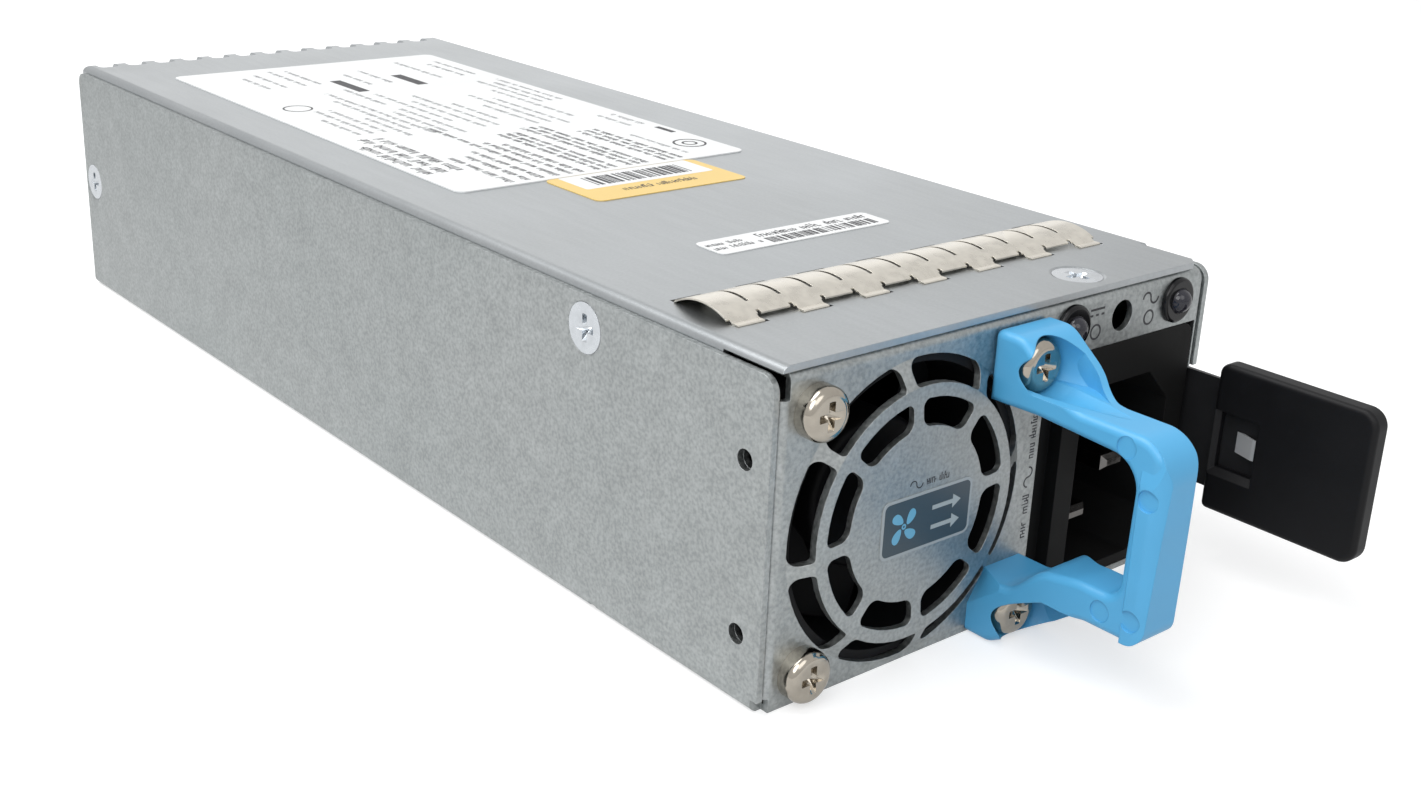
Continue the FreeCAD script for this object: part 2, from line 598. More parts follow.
def front_panel():
    """Panel with flanges folded back on all four sides."""
    tray = box(-PANEL_HALF, PANEL_HALF, 0, FLANGE_DEPTH, 0, COVER_UNDER)
    corner = [e for e in tray.Edges if abs(e.CenterOfMass.x - PANEL_HALF) < 1e-6
              and abs(e.CenterOfMass.z - COVER_UNDER) < 1e-6]
    tray = tray.makeFillet(WALL_CORNER, corner)
    front_edges = [e for e in tray.Edges if abs(e.CenterOfMass.y) < 1e-6]
    tray = tray.makeFillet(FOLD, front_edges)
    hollow = box(-PANEL_HALF + SHEET, PANEL_HALF - SHEET, SHEET, FLANGE_DEPTH + 1,
                 SHEET, COVER_UNDER - SHEET)
    dish, slots = fan_guard()
    panel = tray.cut([hollow, rod(GUARD_RADIUS, (FAN_X, -1, FAN_Z), (FAN_X, SHEET + 1, FAN_Z))])
    panel = panel.fuse(dish).cut(slots)
    cuts = [box(INLET_LEFT - FIT, STRIP_EDGE, -1, SHEET + 0.01, SHEET, INLET_TOP + FIT),
            box(STRIP_EDGE - 0.01, HALF + 1, -1, FLANGE_DEPTH + 1, LATCH_NOTCH_BOTTOM, LATCH_NOTCH_TOP),
            box(PANEL_HALF - SHEET - 0.01, HALF + 1, SHEET, FLANGE_DEPTH + 1, SHEET, LATCH_NOTCH_TOP),
            rod(PANEL_HOLE_RADIUS, (PANEL_HOLE_X, -1, PANEL_HOLE_Z), (PANEL_HOLE_X, 2, PANEL_HOLE_Z))]
    cuts += [rod(BEZEL_BODY_RADIUS + FIT, (x, -1, LED_Z), (x, SHEET + 1, LED_Z)) for x in LED_XS]
    for side in (-1, 1):
        for level in (-1, 1):
            x, z = FAN_X + side * PITCH_HALF, FAN_Z + level * PITCH_HALF
            cuts.append(rod(SCREW_RADIUS + SCREW_HOLE_GAP, (x, -1, z), (x, SHEET + 1, z)))
    cuts.append(box(-PANEL_HALF - 1, -PANEL_HALF + RELIEF, -1, FLANGE_DEPTH + 1,
                    COVER_UNDER - RELIEF_HEIGHT, COVER_UNDER + 1))
    return panel.cut(cuts + [lower_relief()])


def chassis():
    """Base, side walls and front panel, folded from one sheet."""
    outside = rounded_face("XZ", 0, [(-HALF, WALL_TOP, 0), (-HALF, 0, FOLD), (HALF, 0, FOLD),
                                     (HALF, WALL_TOP, 0)])
    inside = rounded_face("XZ", 0, [(-INSIDE, WALL_TOP, 0), (-INSIDE, SHEET, FOLD - SHEET),
                                    (INSIDE, SHEET, FOLD - SHEET), (INSIDE, WALL_TOP, 0)])
    channel = outside.cut(inside).extrude(V(0, CASE_LENGTH, 0))
    side = rounded_face("YZ", -HALF, [(WALL_SETBACK, -1, 0), (CASE_LENGTH, -1, 0),
                                      (CASE_LENGTH, WALL_TOP, WALL_CORNER),
                                      (WALL_SETBACK, WALL_TOP, WALL_CORNER)])
    channel = channel.common(side.extrude(V(CASE_WIDTH, 0, 0)))
    notch = box(INSIDE - 0.01, HALF + 1, -1, LATCH_NOTCH_LENGTH, LATCH_NOTCH_BOTTOM, LATCH_NOTCH_TOP)
    notch_y, notch_width, notch_height = FOOT_NOTCH
    foot_notch = box(-HALF - 1, -INSIDE, notch_y, notch_y + notch_width, -1, notch_height)
    case = channel.cut([notch, foot_notch, lower_relief()]).fuse(front_panel())
    holes = at_case_screws(flat_screw_hole(FLAT_SCREW_LENGTH + 1))
    for y, z in WALL_HOLES:
        holes.append(rod(WALL_HOLE_RADIUS, (-HALF - 1, y, z), (-INSIDE + 2, y, z)))
    for rivet_y, rivet_z in rivet_places():
        holes.append(rod(RIVET_RADIUS, (INSIDE - 1, rivet_y, rivet_z), (HALF + 1, rivet_y, rivet_z)))
    return case.cut(holes).removeSplitter()


def vent_slots():
    """Slots across the cover's rear fold."""
    slots = []
    for i in range(VENT_COUNT):
        x = VENT_CENTRE_X + (i - (VENT_COUNT - 1) / 2) * VENT_PITCH
        half = VENT_WIDTH / 2
        slots.append(rounded_box(x - half, x + half, CASE_LENGTH - VENT_TOP_REACH,
                                 CASE_LENGTH + 1, VENT_BOTTOM, CASE_HEIGHT + 1, half * 0.6, "Z"))
    return slots


def top_cover():
    """Lid with folded side flanges and a slotted rear flange."""
    outer = PANEL_HALF
    lid = box(-outer, outer, 0, CASE_LENGTH, COVER_UNDER - COVER_FLANGE, CASE_HEIGHT)
    folds = [e for e in lid.Edges if abs(e.CenterOfMass.z - CASE_HEIGHT) < 1e-6
             and (abs(abs(e.CenterOfMass.x) - outer) < 1e-6 or abs(e.CenterOfMass.y - CASE_LENGTH) < 1e-6)]
    lid = lid.makeFillet(FOLD, folds)
    hollow = box(-outer + SHEET, outer - SHEET, -1, CASE_LENGTH - SHEET, 0, COVER_UNDER)
    lid = lid.cut(hollow)
    rear = box(-outer, outer, CASE_LENGTH - SHEET, CASE_LENGTH, REAR_FLANGE_BOTTOM,
               COVER_UNDER - COVER_FLANGE)
    tab_front = CASE_LENGTH - 2 * (CASE_LENGTH - SIDE_SCREWS[1][0])
    tabs = [box(*sorted((s * outer, s * (outer - SHEET))), tab_front - 2, CASE_LENGTH,
                REAR_FLANGE_BOTTOM, COVER_UNDER - COVER_FLANGE) for s in (-1, 1)]
    lid = lid.fuse([rear] + tabs)
    front = [box(s * outer - COVER_SETBACK, s * outer + COVER_SETBACK, -1, FLANGE_DEPTH + 0.2, 0, top)
             for s, top in ((-1, COVER_UNDER), (1, CASE_HEIGHT + 1))]
    front_slots, rear_slots = [], []
    for i in range(0, FINGER_COUNT, 2):
        left, right = finger_x(i) - SLOT_WIDTH / 2, finger_x(i) + SLOT_WIDTH / 2
        shift = (SLOT_WIDTH - TOE_WIDTH) / 2 - FIT
        front_slots.append(box(left + shift, right + shift, TOE_FRONT_Y - FIT,
                               TOE_FRONT_Y + FRONT_SLOT, COVER_UNDER - 1, CASE_HEIGHT + 1))
        rear_slots.append(box(left, right, FINGER_REAR_Y - FIT, FINGER_REAR_Y + REAR_SLOT,
                              COVER_UNDER - 1, CASE_HEIGHT + 1))
    cut_x = outer - COVER_SETBACK
    clipped = rounded_face("XY", 0, [(cut_x - COVER_CHAMFER, 0, 0), (cut_x, -0.01, 0),
                                     (cut_x, COVER_CHAMFER, 0)]).extrude(V(0, 0, CASE_HEIGHT + 1))
    lid = lid.cut(front + [clipped] + front_slots + rear_slots + vent_slots())
    return lid.cut(at_case_screws(flat_screw_hole(FLAT_SCREW_LENGTH + 1))).removeSplitter()


def case_screws():
    return group(at_case_screws(flat_screw(FLAT_SCREW_LENGTH)))


# ------------------------------------------------------------------ contact finger strip
def finger_x(i):
    return FINGER_CENTRE_X + (i - (FINGER_COUNT - 1) / 2) * FINGER_PITCH


def emi_finger_strip():
    """Sprung strip of contact fingers arched over the cover, every other one hooked into slots."""
    top, sheet = CASE_HEIGHT, FINGER_SHEET
    left = finger_x(0) - FINGER_PITCH / 2

    def arch(height):
        return Part.Arc(V(left, FINGER_FRONT_Y, top + FINGER_LIFT + height),
                        V(left, FINGER_CREST_Y, top + FINGER_CREST - sheet + height),
                        V(left, FINGER_REAR_Y, top + height)).toShape()

    upper, lower = arch(sheet), arch(0)
    ends = [Part.makeLine(upper.Vertexes[i].Point, lower.Vertexes[i].Point) for i in (0, 1)]
    band = Part.Face(Part.Wire(Part.__sortEdges__([upper, lower] + ends)))
    band = band.extrude(V(FINGER_COUNT * FINGER_PITCH, 0, 0))
    cuts = []
    for i in range(FINGER_COUNT - 1):
        between = finger_x(i) + FINGER_PITCH / 2
        x0, x1 = between - FINGER_SLIT / 2, between + FINGER_SLIT / 2
        cuts.append(box(x0, x1, FINGER_SLIT_Y, FINGER_REAR_Y + 1, top - 1, top + 3))
        cuts.append(box(x0, x1, FINGER_FRONT_Y - 1, FINGER_NOTCH_Y, top - 1, top + 3))
    hooks = []
    for i in range(0, FINGER_COUNT, 2):
        x0, x1 = finger_x(i) - TOE_WIDTH / 2, finger_x(i) + TOE_WIDTH / 2
        lift = top + FINGER_LIFT
        toe = [(FINGER_FRONT_Y + 0.1, lift, 0), (FINGER_FRONT_Y + 0.1, lift + sheet, 0),
               (FINGER_FRONT_Y, lift + sheet, 0), (TOE_FLAT_Y, top + sheet, 0),
               (TOE_FRONT_Y, top + sheet, 0.15), (TOE_FRONT_Y, top - SHEET, 0),
               (TOE_FRONT_Y + sheet, top - SHEET, 0), (TOE_FRONT_Y + sheet, top, 0),
               (TOE_FLAT_Y, top, 0), (FINGER_FRONT_Y, lift, 0)]
        hooks.append(rounded_face("YZ", x0, toe).extrude(V(x1 - x0, 0, 0)))
        x0, x1 = finger_x(i) - TAB_WIDTH / 2, finger_x(i) + TAB_WIDTH / 2
        hooks.append(box(x0, x1, FINGER_REAR_Y, FINGER_REAR_Y + sheet, top - SHEET, top + sheet))
    return band.cut(cuts).fuse(hooks).removeSplitter()


# ------------------------------------------------------------------ handle
def handle_side():
    """The handle's outline from its left, with the opening for the fingers."""
    upper, lower = UPPER_SCREW_Z, LOWER_SCREW_Z
    foot_y = -HANDLE_REACH + GRIP_LEAN
    inner_top, inner_foot = -HANDLE_REACH + GRIP_DEPTH, -HANDLE_REACH + GRIP_DEPTH + GRIP_LEAN / 2
    lower_top, lower_under = lower + LOWER_LEG_TOP, lower + LOWER_LEG_UNDER
    outline = [(0, lower + LOWER_PAD_UNDER, 0), (-HEEL_Y, lower + LOWER_PAD_UNDER, 2.2),
               (-HEEL_Y * 2.1, lower - 1.6, 5.0), (-HEEL_Y * 4.5, lower_under, 4.0),
               (foot_y, lower_under, CORNER_FOOT), (-HANDLE_REACH, upper + UPPER_LEG_TOP, CORNER_TOP),
               (-UPPER_SHOULDER, upper + UPPER_LEG_TOP, 5.0),
               (-UPPER_PAD_DEPTH, upper + UPPER_PAD_TOP, 3.6), (0, upper + UPPER_PAD_TOP, 0.8),
               (0, upper - 4.7, 0), (-7.0, upper - 4.5, 14.0),
               (inner_top, upper + UPPER_LEG_UNDER - 0.2, 3.6), (inner_foot, lower_top, 2.0),
               (-15.0, lower_top, 8.0), (-LOWER_CREST, lower_top - 1.0, 4.5),
               (-LOWER_SHOULDER, lower + LOWER_PAD_TOP, 4.0), (0, lower + LOWER_PAD_TOP, 0)]
    return rounded_face("YZ", HANDLE_LEFT - 1, outline).extrude(V(PAD_WIDTH + 2, 0, 0))


def handle_plan(left, right_inset):
    """The handle's outline from above: wide at the pads and narrow at the grip."""
    right, grip_right = HANDLE_RIGHT - right_inset, GRIP_RIGHT - right_inset
    plan = [(left, 1, 0), (left, -HANDLE_REACH, CORNER_FOOT), (grip_right, -HANDLE_REACH, 1.2),
            (grip_right, -14.0, 5.0), (right, -9.0, 4.0), (right, 1, 0)]
    return rounded_face("XY", -1, plan).extrude(V(0, 0, CASE_HEIGHT + 1))


def grip_swell(side):
    """The grip's fuller left face, fading out below the upper leg."""
    left = HANDLE_LEFT - GRIP_SWELL
    back = -HANDLE_REACH + GRIP_DEPTH - HANDLE_EDGE * 0.8
    plan = [(left, back, 0.28), (left, -HANDLE_REACH, 2.0), (GRIP_RIGHT - 1, -HANDLE_REACH, 0),
            (GRIP_RIGHT - 1, back, 0)]
    swell = rounded_face("XY", 0, plan).extrude(V(0, 0, CASE_HEIGHT))
    slab = [(left, LOWER_SCREW_Z, 0), (GRIP_RIGHT, LOWER_SCREW_Z, 0),
            (GRIP_RIGHT, UPPER_SCREW_Z, 0), (HANDLE_LEFT + 0.6, SWELL_TOP + 5.0, 0),
            (left, SWELL_TOP, 3.0)]
    faded = rounded_face("XZ", -HANDLE_REACH - 1, slab).extrude(V(0, HANDLE_REACH, 0))
    return swell.common(side).common(faded)


def upper_pocket():
    """Room round the upper screw head, flared above the leg and running out along it."""
    x, z = SCREW_X, UPPER_SCREW_Z
    well = rod(POCKET_RADIUS, (x, -HANDLE_SEAT, z), (x, -TROUGH_START, z))
    flare = cone(POCKET_RADIUS, FLARE_RADIUS, (x, -FLARE_START, z), (x, -FLARE_END, z))
    flare = flare.common(handle_plan(HANDLE_LEFT - 1, POCKET_WALL))
    above_leg = box(HANDLE_LEFT - 1, HANDLE_RIGHT, -HANDLE_REACH, 0, z + UPPER_LEG_TOP, CASE_HEIGHT)
    trough = cone(POCKET_RADIUS, TROUGH_TIP, (x, -TROUGH_START, z), (x, -TROUGH_END, z))
    return [well, flare.common(above_leg), trough]


def lower_pocket():
    """Room round the lower screw head, scooped out downwards and forwards."""
    x, z = SCREW_X, LOWER_SCREW_Z
    well = rod(POCKET_RADIUS, (x, -HANDLE_SEAT, z), (x, -SCOOP_START, z))
    scoop = cone(POCKET_RADIUS, SCOOP_RADIUS, (x, -SCOOP_START, z), (x, -SCOOP_END, z))
    run_out = rod(SCOOP_RADIUS, (x, -SCOOP_END, z), (x, -SCOOP_RUN_OUT, z))
    ceiling = [(0, z + POCKET_RADIUS, 0), (-LOWER_SHOULDER, z + POCKET_RADIUS, 3.0),
               (-LOWER_CREST, z + LOWER_LEG_UNDER, 3.0), (-SCOOP_RUN_OUT, z + LOWER_LEG_UNDER, 0),
               (-SCOOP_RUN_OUT, -1, 0), (0, -1, 0)]
    room = rounded_face("YZ", HANDLE_LEFT - 1, ceiling).extrude(V(PAD_WIDTH + 1, 0, 0))
    plan = handle_plan(HANDLE_LEFT - 1, POCKET_WALL)
    return [well, joined([scoop, run_out]).common(room).common(plan)]


def corner_cut():
    """Wedge that takes the lower pad's corner away beside the fan guard."""
    across, up = CORNER_CUT
    corner_x, corner_z = HANDLE_LEFT + CORNER_CUT_IN, LOWER_SCREW_Z + LOWER_PAD_TOP
    start = [(corner_x + 2 * across, corner_z + up), (corner_x - across, corner_z - 2 * up),
             (corner_x - across, corner_z + up)]
    wires = []
    for y, slide in ((0.5, 0), (-CORNER_CUT_END, 1)):
        points = [V(x - slide * across, y, z + slide * up * 0.4) for x, z in start]
        wires.append(Part.makePolygon(points + points[:1]))
    return Part.makeLoft(wires, True, True)


def pull_handle():
    """Moulded handle: two pads screwed to the panel, two legs and an upright grip."""
    side = handle_side()
    body = side.common(handle_plan(HANDLE_LEFT, 0))
    left_edges = [e for e in body.Edges if e.BoundBox.XMax < HANDLE_LEFT + 1e-4
                  and e.BoundBox.YMin < -0.01]
    body = body.makeFillet(HANDLE_EDGE, left_edges)
    body = body.fuse(grip_swell(side))
    holes = [rod(SCREW_RADIUS + SCREW_HOLE_GAP, (SCREW_X, 1, z), (SCREW_X, -HANDLE_SEAT - 1, z))
             for z in (LOWER_SCREW_Z, UPPER_SCREW_Z)]
    marks = []
    for places, face in ((LEG_MARKS, HANDLE_LEFT + EJECTOR_DEPTH),
                         (GRIP_MARKS, HANDLE_LEFT - GRIP_SWELL + 2 * EJECTOR_DEPTH)):
        for reach, z in places:
            marks.append(rod(EJECTOR_RADIUS, (HANDLE_LEFT - 1, -reach, z), (face, -reach, z)))
    body = body.cut(upper_pocket() + lower_pocket() + holes)
    return body.cut([corner_cut()] + marks).removeSplitter()


def handle_screws():
    return group([pan_screw(SCREW_X, -HANDLE_SEAT, z, HANDLE_SEAT + SHEET + FAN_FLANGE)
                  for z in (LOWER_SCREW_Z, UPPER_SCREW_Z)])


def fan_screws():
    x = FAN_X - PITCH_HALF
    return group([pan_screw(x, 0, z, SHEET + FAN_FLANGE) for z in (LOWER_SCREW_Z, UPPER_SCREW_Z)])


# ------------------------------------------------------------------ fan
def fan_axis(y):
    return (FAN_X, y, FAN_Z)


def ring(outer, inner, y0, y1):
    return rod(outer, fan_axis(y0), fan_axis(y1)).cut(rod(inner, fan_axis(y0 - 1), fan_axis(y1 + 1)))


def fan_frame():
    """Square flanges, round duct, and at the back the motor's base on four struts."""
    half = FAN_SIZE / 2
    x0, x1, z0, z1 = FAN_X - half, FAN_X + half, FAN_Z - half, FAN_Z + half
    body = rounded_box(x0, x1, FAN_FRONT, FAN_BACK, z0, z1, FAN_CORNER, "Y")
    waist = rounded_box(x0 - 1, x1 + 1, FAN_FRONT + FAN_FLANGE, FAN_BACK - FAN_FLANGE, z0 - 1, z1 + 1,
                        FAN_CORNER, "Y")
    waist = waist.cut(rod(half - 0.1, fan_axis(FAN_FRONT), fan_axis(FAN_BACK)))
    body = body.cut([waist, rod(FAN_BORE, fan_axis(FAN_FRONT - 1), fan_axis(FAN_BACK + 1))])
    struts = []
    for i in range(4):
        strut = box(FAN_X - FAN_STRUT_WIDTH / 2, FAN_X + FAN_STRUT_WIDTH / 2, FAN_BACK - FAN_BASE, FAN_BACK,
                    FAN_Z + HUB_RADIUS - 1, FAN_Z + FAN_BORE + 0.4)
        struts.append(turned(strut, 45 + 90 * i, fan_axis(0), (0, 1, 0)))
    base = rod(HUB_RADIUS, fan_axis(FAN_BACK - FAN_BASE), fan_axis(FAN_BACK))
    sleeve = ring(TUBE_RADIUS, BEARING_RADIUS, HUB_NOSE + CUP_WALL + 0.6, FAN_BACK - FAN_BASE)
    body = body.fuse(struts + [base, sleeve])
    holes = []
    for side in (-1, 1):
        for level in (-1, 1):
            x, z = FAN_X + side * PITCH_HALF, FAN_Z + level * PITCH_HALF
            holes.append(rod(FAN_HOLE, (x, FAN_FRONT - 1, z), (x, FAN_BACK + 1, z)))
    return body.cut(holes).removeSplitter()


def blade():
    """One twisted blade, from inside the hub's wall to the tip."""
    def section(radius, lean_degrees, chord):
        lean = math.radians(lean_degrees)
        along = V(math.sin(lean), math.cos(lean), 0)
        across = V(math.cos(lean), -math.sin(lean), 0)
        centre = V(FAN_X, (HUB_NOSE + HUB_BACK) / 2, FAN_Z + radius)
        camber, half = chord * 0.12, BLADE_THICKNESS / 2
        lead, trail = centre - along * (chord / 2), centre + along * (chord / 2)
        bow_out = Part.Arc(lead, centre + across * (camber + half), trail).toShape()
        bow_in = Part.Arc(trail, centre + across * (camber - half), lead).toShape()
        return Part.Wire([bow_out, bow_in])

    tip = FAN_BORE - TIP_GAP
    body = Part.makeLoft([section(HUB_RADIUS - 0.4, 38, HUB_LENGTH + 0.5),
                          section(tip + 0.3, 58, HUB_LENGTH + 3.5)], True, True)
    return body.common(rod(tip, fan_axis(HUB_NOSE + 0.3), fan_axis(HUB_BACK - 0.3)))


def fan_rotor():
    """Hub cup with its blades."""
    cup = rod(HUB_RADIUS, fan_axis(HUB_NOSE), fan_axis(HUB_BACK))
    rim = [e for e in cup.Edges if abs(e.CenterOfMass.y - HUB_NOSE) < 1e-6 and e.Closed]
    cup = cup.makeFillet(0.8, rim)
    cup = cup.cut(rod(HUB_RADIUS - CUP_WALL, fan_axis(HUB_NOSE + CUP_WALL), fan_axis(HUB_BACK + 1)))
    cup = cup.fuse([turned(blade(), i * 360 / BLADE_COUNT, fan_axis(0), (0, 1, 0))
                    for i in range(BLADE_COUNT)])
    hollow = rod(HUB_RADIUS - CUP_WALL, fan_axis(HUB_NOSE + CUP_WALL), fan_axis(HUB_BACK + 1))
    return cup.cut([hollow, rod(SHAFT_RADIUS, fan_axis(HUB_NOSE + CUP_WALL / 2), fan_axis(HUB_BACK))])


def fan_shaft():
    return rod(SHAFT_RADIUS, fan_axis(HUB_NOSE + CUP_WALL / 2), fan_axis(FAN_BACK - FAN_BASE - 0.3))


def fan_magnet():
    outer = HUB_RADIUS - CUP_WALL
    return ring(outer, outer - MAGNET_THICKNESS, HUB_NOSE + CUP_WALL + 1, HUB_BACK - 0.5)


def fan_bearings():
    start, end = HUB_NOSE + CUP_WALL + 0.6, FAN_BACK - FAN_BASE
    bore = SHAFT_RADIUS + SHAFT_RUNNING_GAP
    return group([ring(BEARING_RADIUS, bore, start, start + BEARING_WIDTH),
                  ring(BEARING_RADIUS, bore, end - BEARING_WIDTH, end)])


def fan_stator():
    """Laminated core on the bearing sleeve, with four wound poles."""
    y0, y1 = HUB_NOSE + CUP_WALL + 2.5, HUB_BACK - 1.5
    reach = HUB_RADIUS - CUP_WALL - MAGNET_THICKNESS - 0.4
    pieces = [rod(TUBE_RADIUS + 1.0, fan_axis(y0), fan_axis(y1))]
    for i in range(4):
        pole = box(FAN_X - 1.0, FAN_X + 1.0, y0, y1, FAN_Z, FAN_Z + reach - 0.8)
        shoe = rod(reach, fan_axis(y0), fan_axis(y1)).cut(rod(reach - 1.0, fan_axis(y0), fan_axis(y1)))
        shoe = shoe.common(box(FAN_X - 3.2, FAN_X + 3.2, y0, y1, FAN_Z, FAN_Z + reach))
        pieces += [turned(p, i * 90, fan_axis(0), (0, 1, 0)) for p in (pole, shoe)]
    return joined(pieces).cut(rod(TUBE_RADIUS, fan_axis(y0 - 1), fan_axis(y1 + 1)))


# ------------------------------------------------------------------ mains inlet
def inlet_opening(grow):
    """Outline of the socket, with its two cut corners on the right, grown outwards."""
    x0, x1 = INLET_X - INLET_OPENING_X / 2 - grow, INLET_X + INLET_OPENING_X / 2 + grow
    z0, z1 = INLET_Z - INLET_OPENING_Z / 2 - grow, INLET_Z + INLET_OPENING_Z / 2 + grow
    cut = INLET_CHAMFER + grow * 0.6
    return [(x0, z0, 0.8), (x1 - cut, z0, 0.8), (x1, z0 + cut, 0.8), (x1, z1 - cut, 0.8),
            (x1 - cut, z1, 0.8), (x0, z1, 0.8)]


def inlet_housing():
    """Moulded socket body with its collar in the panel's cut-out."""
    collar = [(INLET_COLLAR_LEFT, INLET_BOTTOM, 0.5), (INLET_RIGHT, INLET_BOTTOM, 0.5),
              (INLET_RIGHT, INLET_TOP, 2.2), (INLET_COLLAR_LEFT, INLET_TOP, 0.5)]
    front = rounded_face("XZ", 0, collar).extrude(V(0, INLET_COLLAR_DEPTH, 0))
    step = box(INLET_LEFT, INLET_COLLAR_LEFT + 1, INLET_STEP, INLET_COLLAR_DEPTH, INLET_BOTTOM, INLET_TOP)
    body = rounded_face("XZ", 1.0, inlet_opening(INLET_WALL)).extrude(V(0, INLET_BODY_DEPTH - 1.0, 0))
    body = body.common(box(0, CASE_WIDTH, 0, CASE_LENGTH, INLET_BOTTOM, CASE_HEIGHT))
    foot = box(INLET_X - 9, INLET_X + 9, INLET_COLLAR_DEPTH, INLET_BODY_DEPTH, SHEET, INLET_BOTTOM + 0.2)
    cavity = rounded_face("XZ", -1, inlet_opening(0)).extrude(V(0, INLET_DEPTH + 1, 0))
    housing = front.fuse([step, body, foot]).cut(cavity)
    pins = [p for p in pin_blocks(FIT)]
    return housing.cut(pins).removeSplitter()


def pin_blocks(gap):
    """The three contact blades, each through the socket's floor to its solder tab."""
    line_x = INLET_X - PIN_STEP / 2
    places = [(line_x + PIN_STEP, INLET_Z, EARTH_PIN_TIP),
              (line_x, INLET_Z - LINE_PIN_PITCH / 2, LINE_PIN_TIP),
              (line_x, INLET_Z + LINE_PIN_PITCH / 2, LINE_PIN_TIP)]
    blocks = []
    for x, z, tip in places:
        half_w, half_t = PIN_WIDTH / 2 + gap, PIN_THICKNESS / 2 + gap
        blocks.append(box(x - half_w, x + half_w, tip, INLET_BODY_DEPTH + TAB_LENGTH,
                          z - half_t, z + half_t))
    return blocks


def blade_pin(block):
    """Contact blade with its leading edges chamfered."""
    front = block.BoundBox.YMin
    edges = [e for e in block.Edges if abs(e.CenterOfMass.y - front) < 1e-6]
    return block.makeChamfer(0.6, edges)


def inlet_earth_pin():
    return blade_pin(pin_blocks(0)[0])


def inlet_line_pins():
    return group([blade_pin(b) for b in pin_blocks(0)[1:]])


# ------------------------------------------------------------------ latch
def rivet_places():
    middle = (LATCH_BOTTOM + LATCH_TOP) / 2
    y = LATCH_PIVOT_Y + LATCH_ROOT_LENGTH / 2
    return [(y, middle - RIVET_PITCH / 2), (y, middle + RIVET_PITCH / 2)]


def latch_leaf():
    """Sprung steel leaf, from its flexing line to its tip inside the paddle, with the catch tooth."""
    back, front = INSIDE - LATCH_SHEET - 0.02, LATCH_FRONT_X
    jog = LEAF_JOG
    outline = [(back, LATCH_PIVOT_Y - FIT, 0), (back, LATCH_JOG_Y, 1.0), (front, LATCH_JOG_Y - jog, 1.0),
               (front, LEAF_TIP, 0), (front + LATCH_SHEET, LEAF_TIP, 0),
               (front + LATCH_SHEET, LATCH_JOG_Y - jog + 0.3, 0.5),
               (back + LATCH_SHEET, LATCH_JOG_Y + 0.3, 0.5), (back + LATCH_SHEET, LATCH_PIVOT_Y - FIT, 0)]
    leaf = rounded_face("XY", LATCH_BOTTOM, outline).extrude(V(0, 0, LATCH_TOP - LATCH_BOTTOM))
    middle = (LATCH_BOTTOM + LATCH_TOP) / 2
    face_x = front + LATCH_SHEET
    peak = HALF + TOOTH_HEIGHT
    tooth = [(face_x - 0.1, TOOTH_Y, 0), (peak, TOOTH_Y, 0.3), (peak, TOOTH_Y + 0.8, 0.3),
             (face_x - 0.1, TOOTH_Y + TOOTH_LENGTH, 0)]
    tooth = rounded_face("XY", middle - TOOTH_WIDTH / 2, tooth).extrude(V(0, 0, TOOTH_WIDTH))
    tongue = [(front + 0.1, -7.2, 0), (front - TONGUE_BEND, -10.4, 0),
              (front - TONGUE_BEND, -10.9, 0), (front + 0.1, -8.4, 0)]
    tongue = rounded_face("XY", middle - TONGUE_WIDTH / 2, tongue).extrude(V(0, 0, TONGUE_WIDTH))
    return leaf.fuse([tooth, tongue]).removeSplitter()


def latch_leaf_root():
    """The leaf's riveted end, flat on the wall."""
    inner = INSIDE - LATCH_SHEET
    plate = rounded_box(inner, INSIDE, LATCH_PIVOT_Y, LATCH_PIVOT_Y + LATCH_ROOT_LENGTH,
                        LATCH_BOTTOM, LATCH_TOP, 1.5, "X")
    return plate.cut([rod(RIVET_RADIUS, (inner - 1, y, z), (INSIDE + 1, y, z)) for y, z in rivet_places()])


def latch_rivets():
    """Flush outside the wall, domed inside."""
    inner = INSIDE - LATCH_SHEET
    rivets = []
    for y, z in rivet_places():
        shank = rod(RIVET_RADIUS, (inner, y, z), (HALF, y, z))
        head = cone(RIVET_RADIUS + 0.9, RIVET_RADIUS + 0.3, (inner, y, z), (inner - RIVET_RISE, y, z))
        rivets.append(joined([shank, head]))
    return group(rivets)


